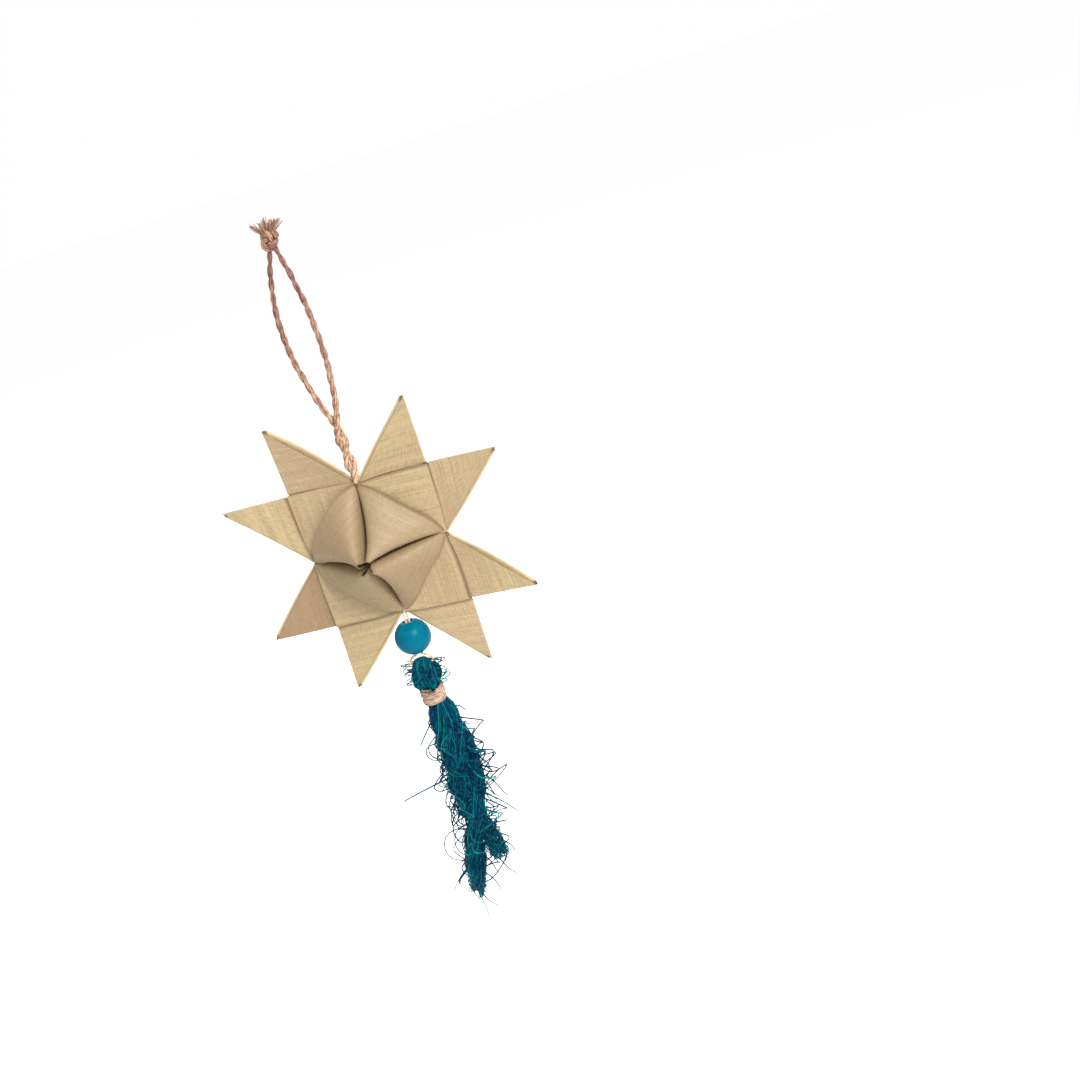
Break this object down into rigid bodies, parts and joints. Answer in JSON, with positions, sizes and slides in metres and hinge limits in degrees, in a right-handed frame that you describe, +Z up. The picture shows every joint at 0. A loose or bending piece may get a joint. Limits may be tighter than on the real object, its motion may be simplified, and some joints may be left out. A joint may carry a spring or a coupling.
{
  "type": "woven star ornament",
  "caption": "Hanging star plaited and folded from leaf strips, with flat and curled points, a twine loop, a round bead and a fibre tassel bound with twine.",
  "frame": {"origin": "inside the top of the hanging loop, just under its knot, where a hook bears", "axes": "+Z up along the hanging ornament, the star's front faces -Y, +X to the right seen from the front"},
  "size_m": [0.0766, 0.0302, 0.202],
  "materials": {
    "leaf": "dry palm leaf with fine veins, satin",
    "twine": "natural jute twine, slightly glossy fibres",
    "bead_paint": "glossy painted wood",
    "string": "thin natural string",
    "dyed_fibre": "dyed jute fibre"
  },
  "bodies": {
    "root": {"leaf_strip_1": "leaf", "leaf_strip_2": "leaf", "leaf_strip_3": "leaf", "leaf_strip_4": "leaf", "hanging_cord": "twine", "bead": "bead_paint", "bead_string": "string", "tassel": "dyed_fibre", "tassel_binding": "twine"}
  },
  "joints": []
}
